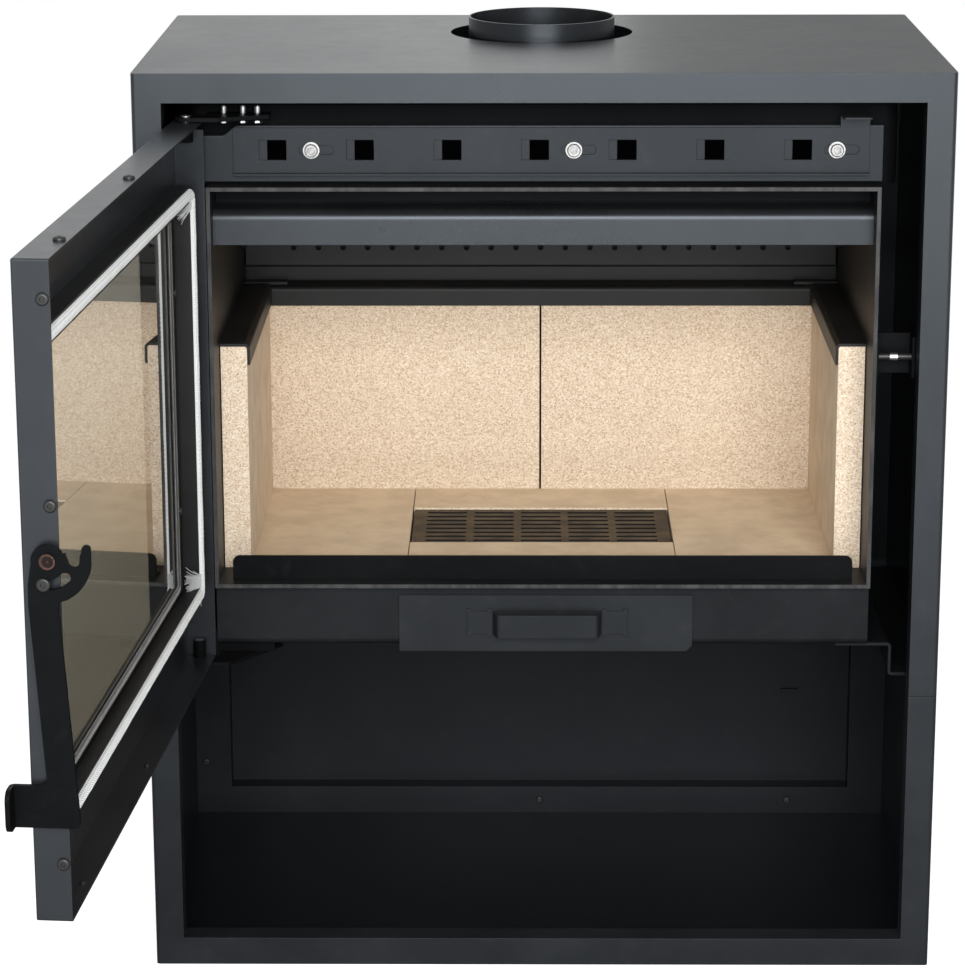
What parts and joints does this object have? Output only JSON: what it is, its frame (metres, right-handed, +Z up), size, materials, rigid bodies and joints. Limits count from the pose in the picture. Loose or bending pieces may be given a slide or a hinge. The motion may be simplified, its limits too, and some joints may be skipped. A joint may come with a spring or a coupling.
{
  "type": "fireplace insert",
  "caption": "Wood-burning fireplace insert with a side-hung glass door, brick-lined firebox, sliding air control, ash drawer and an open log store below.",
  "frame": {"origin": "centre of the casing's base, on the floor", "axes": "+Z up along the flue; +Y to the back of the casing; the door opens towards -Y; +X to the right seen from the front"},
  "size_m": [0.8351, 1.1625, 0.9436],
  "materials": {
    "casing_paint": "satin heat-resistant paint",
    "firebox_paint": "matt black heat-resistant paint",
    "air_panel_paint": "satin heat-resistant paint",
    "vermiculite": "pressed granular board",
    "cast_grate": "as cast",
    "zinc_steel": "bright",
    "black_screw": "blackened",
    "dark_steel": "blackened",
    "ceramic_rope": "knitted ceramic fibre",
    "black_braid": "braided glass fibre",
    "glass": "clear ceramic glass"
  },
  "bodies": {
    "insert": {"air_box": "air_panel_paint", "airwash_deflector": "air_panel_paint", "back_brick_left": "vermiculite", "back_brick_right": "vermiculite", "back_cap": "firebox_paint", "back_panel": "casing_paint", "baffle_plate": "vermiculite", "baffle_rail_left": "firebox_paint", "baffle_rail_right": "firebox_paint", "base_casing": "casing_paint", "base_panel": "air_panel_paint", "drawer_housing": "firebox_paint", "firebox_shell": "firebox_paint", "floor_brick_front": "vermiculite", "floor_brick_left": "vermiculite", "floor_brick_rear": "vermiculite", "floor_brick_right": "vermiculite", "flue_collar": "air_panel_paint", "grate": "cast_grate", "hinge_bolts": "zinc_steel", "hinge_pins": "zinc_steel", "hinge_plate_bottom": "dark_steel", "hinge_plate_top": "dark_steel", "hinge_shelf": "firebox_paint", "hinge_spacer": "firebox_paint", "latch_bracket": "dark_steel", "latch_pin": "zinc_steel", "log_retainer": "air_panel_paint", "rear_frame": "casing_paint", "rear_screws": "black_screw", "secondary_air_duct": "firebox_paint", "side_brick_left": "vermiculite", "side_brick_right": "vermiculite", "side_cap_left": "firebox_paint", "side_cap_right": "firebox_paint", "slider_screws": "zinc_steel", "slider_washers": "zinc_steel", "support_rail_left": "firebox_paint", "support_rail_right": "firebox_paint", "upper_casing": "casing_paint", "upper_front_panel": "air_panel_paint"},
    "door": {"door_casing": "casing_paint", "door_screws": "black_screw", "hinge_bushes": "dark_steel", "rope_channel": "firebox_paint", "door_rope": "ceramic_rope", "door_glass": "glass", "glass_gasket": "black_braid", "glass_retainers": "firebox_paint", "retainer_screws": "black_screw", "lever_pivot": "black_screw", "guide_screw": "black_screw"},
    "latch_lever": {"latch_lever": "dark_steel"},
    "air_slider": {"air_slider": "air_panel_paint"},
    "ash_drawer": {"ash_drawer_front": "air_panel_paint", "ash_drawer_tray": "firebox_paint", "ash_drawer_handle": "air_panel_paint"},
    "latch_roller": {"latch_roller": "zinc_steel"}
  },
  "joints": [
    {"name": "door_hinge", "type": "hinge", "parent": "insert", "child": "door", "pos_m": [-0.3484, -0.2165, 0.6035], "axis": [0, 0, 1], "range_deg": [-15, 94.46]},
    {"name": "lever_hinge", "type": "hinge", "parent": "door", "child": "latch_lever", "pos_m": [-0.39576, -0.91373, 0.637], "axis": [0.0778, 0.997, 0], "range_deg": [0, 50]},
    {"name": "air_slide", "type": "slide", "parent": "insert", "child": "air_slider", "axis": [1, 0, 0], "range_m": [-0.017, 0.0075]},
    {"name": "drawer_slide", "type": "slide", "parent": "insert", "child": "ash_drawer", "axis": [0, 1, 0], "range_m": [-0.26, 0]},
    {"name": "roller_spin", "type": "hinge", "parent": "insert", "child": "latch_roller", "pos_m": [0.3504, -0.1883, 0.637], "axis": [1, 0, 0], "continuous": true}
  ]
}
